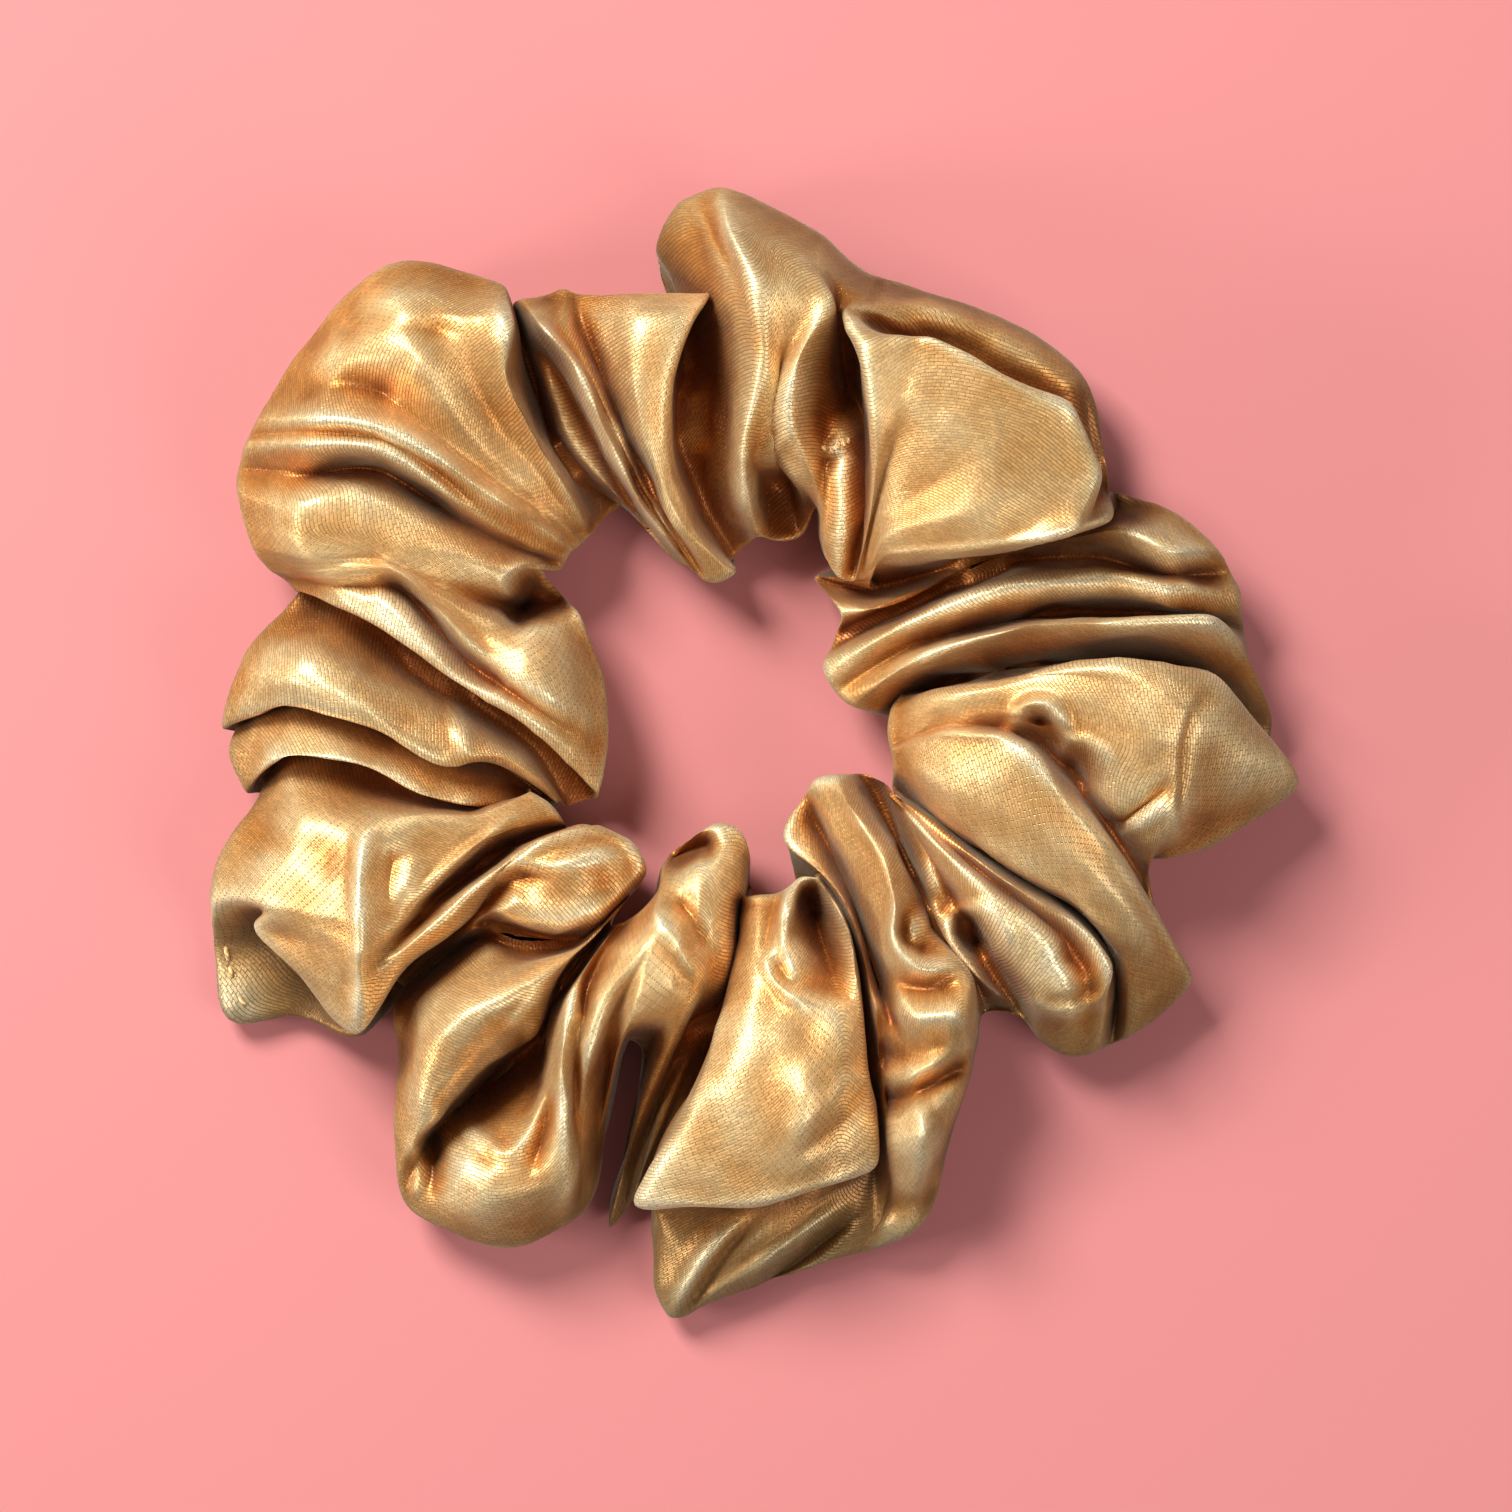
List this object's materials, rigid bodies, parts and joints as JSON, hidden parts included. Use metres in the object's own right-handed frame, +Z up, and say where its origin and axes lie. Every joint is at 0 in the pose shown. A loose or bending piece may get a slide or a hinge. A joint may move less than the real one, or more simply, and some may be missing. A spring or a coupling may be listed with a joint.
{
  "type": "hair scrunchie",
  "caption": "Gathered satin hair scrunchie: a flat elastic loop inside a ruffled fabric sleeve, lying relaxed on a flat surface.",
  "frame": {"origin": "on the surface it lies on, under the middle of the overall outline", "axes": "+Z up through the hair opening, +X and +Y in the plane the scrunchie lies in; the closing seam is at 207 degrees counter-clockwise from +X round the elastic loop's centre"},
  "size_m": [0.1096, 0.1154, 0.028],
  "materials": {
    "satin": "fine glossy polyester satin, gold, soft sheen along the folds",
    "elastic_braid": "off-white braided flat elastic, matt",
    "sewing_thread": "gold polyester sewing thread, matt"
  },
  "bodies": {
    "gather_01": {"cover_01": "satin", "elastic_01": "elastic_braid", "seam_thread_01": "sewing_thread", "elastic_end_lap": "elastic_braid", "elastic_join_thread": "sewing_thread", "closing_seam_thread": "sewing_thread"},
    "gather_02": {"cover_02": "satin", "elastic_02": "elastic_braid", "seam_thread_02": "sewing_thread"},
    "gather_03": {"cover_03": "satin", "elastic_03": "elastic_braid", "seam_thread_03": "sewing_thread"},
    "gather_04": {"cover_04": "satin", "elastic_04": "elastic_braid", "seam_thread_04": "sewing_thread"},
    "gather_05": {"cover_05": "satin", "elastic_05": "elastic_braid", "seam_thread_05": "sewing_thread"},
    "gather_06": {"cover_06": "satin", "elastic_06": "elastic_braid", "seam_thread_06": "sewing_thread"},
    "gather_07": {"cover_07": "satin", "elastic_07": "elastic_braid", "seam_thread_07": "sewing_thread"},
    "gather_08": {"cover_08": "satin", "elastic_08": "elastic_braid", "seam_thread_08": "sewing_thread"},
    "gather_09": {"cover_09": "satin", "elastic_09": "elastic_braid", "seam_thread_09": "sewing_thread"},
    "gather_10": {"cover_10": "satin", "elastic_10": "elastic_braid", "seam_thread_10": "sewing_thread"},
    "gather_11": {"cover_11": "satin", "elastic_11": "elastic_braid", "seam_thread_11": "sewing_thread"},
    "gather_12": {"cover_12": "satin", "elastic_12": "elastic_braid", "seam_thread_12": "sewing_thread"},
    "gather_13": {"cover_13": "satin", "elastic_13": "elastic_braid", "seam_thread_13": "sewing_thread"}
  },
  "joints": [
    {"name": "stretch", "type": "slide", "parent": "gather_01", "child": "gather_02", "axis": [0.6691, -0.7431, 0], "range_m": [0, 0.01553], "stiffness_N_per_m": 225},
    {"name": "stretch_02", "type": "slide", "parent": "gather_02", "child": "gather_03", "axis": [0.9659, -0.2588, 0], "range_m": [0, 0.01859], "stiffness_N_per_m": 189},
    {"name": "stretch_03", "type": "slide", "parent": "gather_03", "child": "gather_04", "axis": [0.9537, 0.3007, 0], "range_m": [0, 0.01507], "stiffness_N_per_m": 233},
    {"name": "stretch_04", "type": "slide", "parent": "gather_04", "child": "gather_05", "axis": [0.7071, 0.7071, 0], "range_m": [0, 0.01355], "stiffness_N_per_m": 259},
    {"name": "stretch_05", "type": "slide", "parent": "gather_05", "child": "gather_06", "axis": [0.3214, 0.9469, 0], "range_m": [0, 0.0138], "stiffness_N_per_m": 255},
    {"name": "stretch_06", "type": "slide", "parent": "gather_06", "child": "gather_07", "axis": [-0.1002, 0.995, 0], "range_m": [0, 0.01176], "stiffness_N_per_m": 299},
    {"name": "stretch_07", "type": "slide", "parent": "gather_07", "child": "gather_08", "axis": [-0.515, 0.8572, 0], "range_m": [0, 0.01457], "stiffness_N_per_m": 241},
    {"name": "stretch_08", "type": "slide", "parent": "gather_08", "child": "gather_09", "axis": [-0.8788, 0.4772, 0], "range_m": [0, 0.01709], "stiffness_N_per_m": 205},
    {"name": "stretch_09", "type": "slide", "parent": "gather_09", "child": "gather_10", "axis": [-0.9992, -0.0393, 0], "range_m": [0, 0.01482], "stiffness_N_per_m": 237},
    {"name": "stretch_10", "type": "slide", "parent": "gather_10", "child": "gather_11", "axis": [-0.8266, -0.5628, 0], "range_m": [0, 0.01834], "stiffness_N_per_m": 191},
    {"name": "stretch_11", "type": "slide", "parent": "gather_11", "child": "gather_12", "axis": [-0.3297, -0.9441, 0], "range_m": [0, 0.01934], "stiffness_N_per_m": 181},
    {"name": "stretch_12", "type": "slide", "parent": "gather_12", "child": "gather_13", "axis": [0.2292, -0.9734, 0], "range_m": [0, 0.01431], "stiffness_N_per_m": 245}
  ],
  "couplings": [
    {"joint": "stretch_02", "follows": "stretch", "ratio": 1.194},
    {"joint": "stretch_03", "follows": "stretch", "ratio": 0.96739},
    {"joint": "stretch_04", "follows": "stretch", "ratio": 0.86914},
    {"joint": "stretch_05", "follows": "stretch", "ratio": 0.88556},
    {"joint": "stretch_06", "follows": "stretch", "ratio": 0.75377},
    {"joint": "stretch_07", "follows": "stretch", "ratio": 0.93471},
    {"joint": "stretch_08", "follows": "stretch", "ratio": 1.0974},
    {"joint": "stretch_09", "follows": "stretch", "ratio": 0.95106},
    {"joint": "stretch_10", "follows": "stretch", "ratio": 1.1779},
    {"joint": "stretch_11", "follows": "stretch", "ratio": 1.242},
    {"joint": "stretch_12", "follows": "stretch", "ratio": 0.91835}
  ]
}
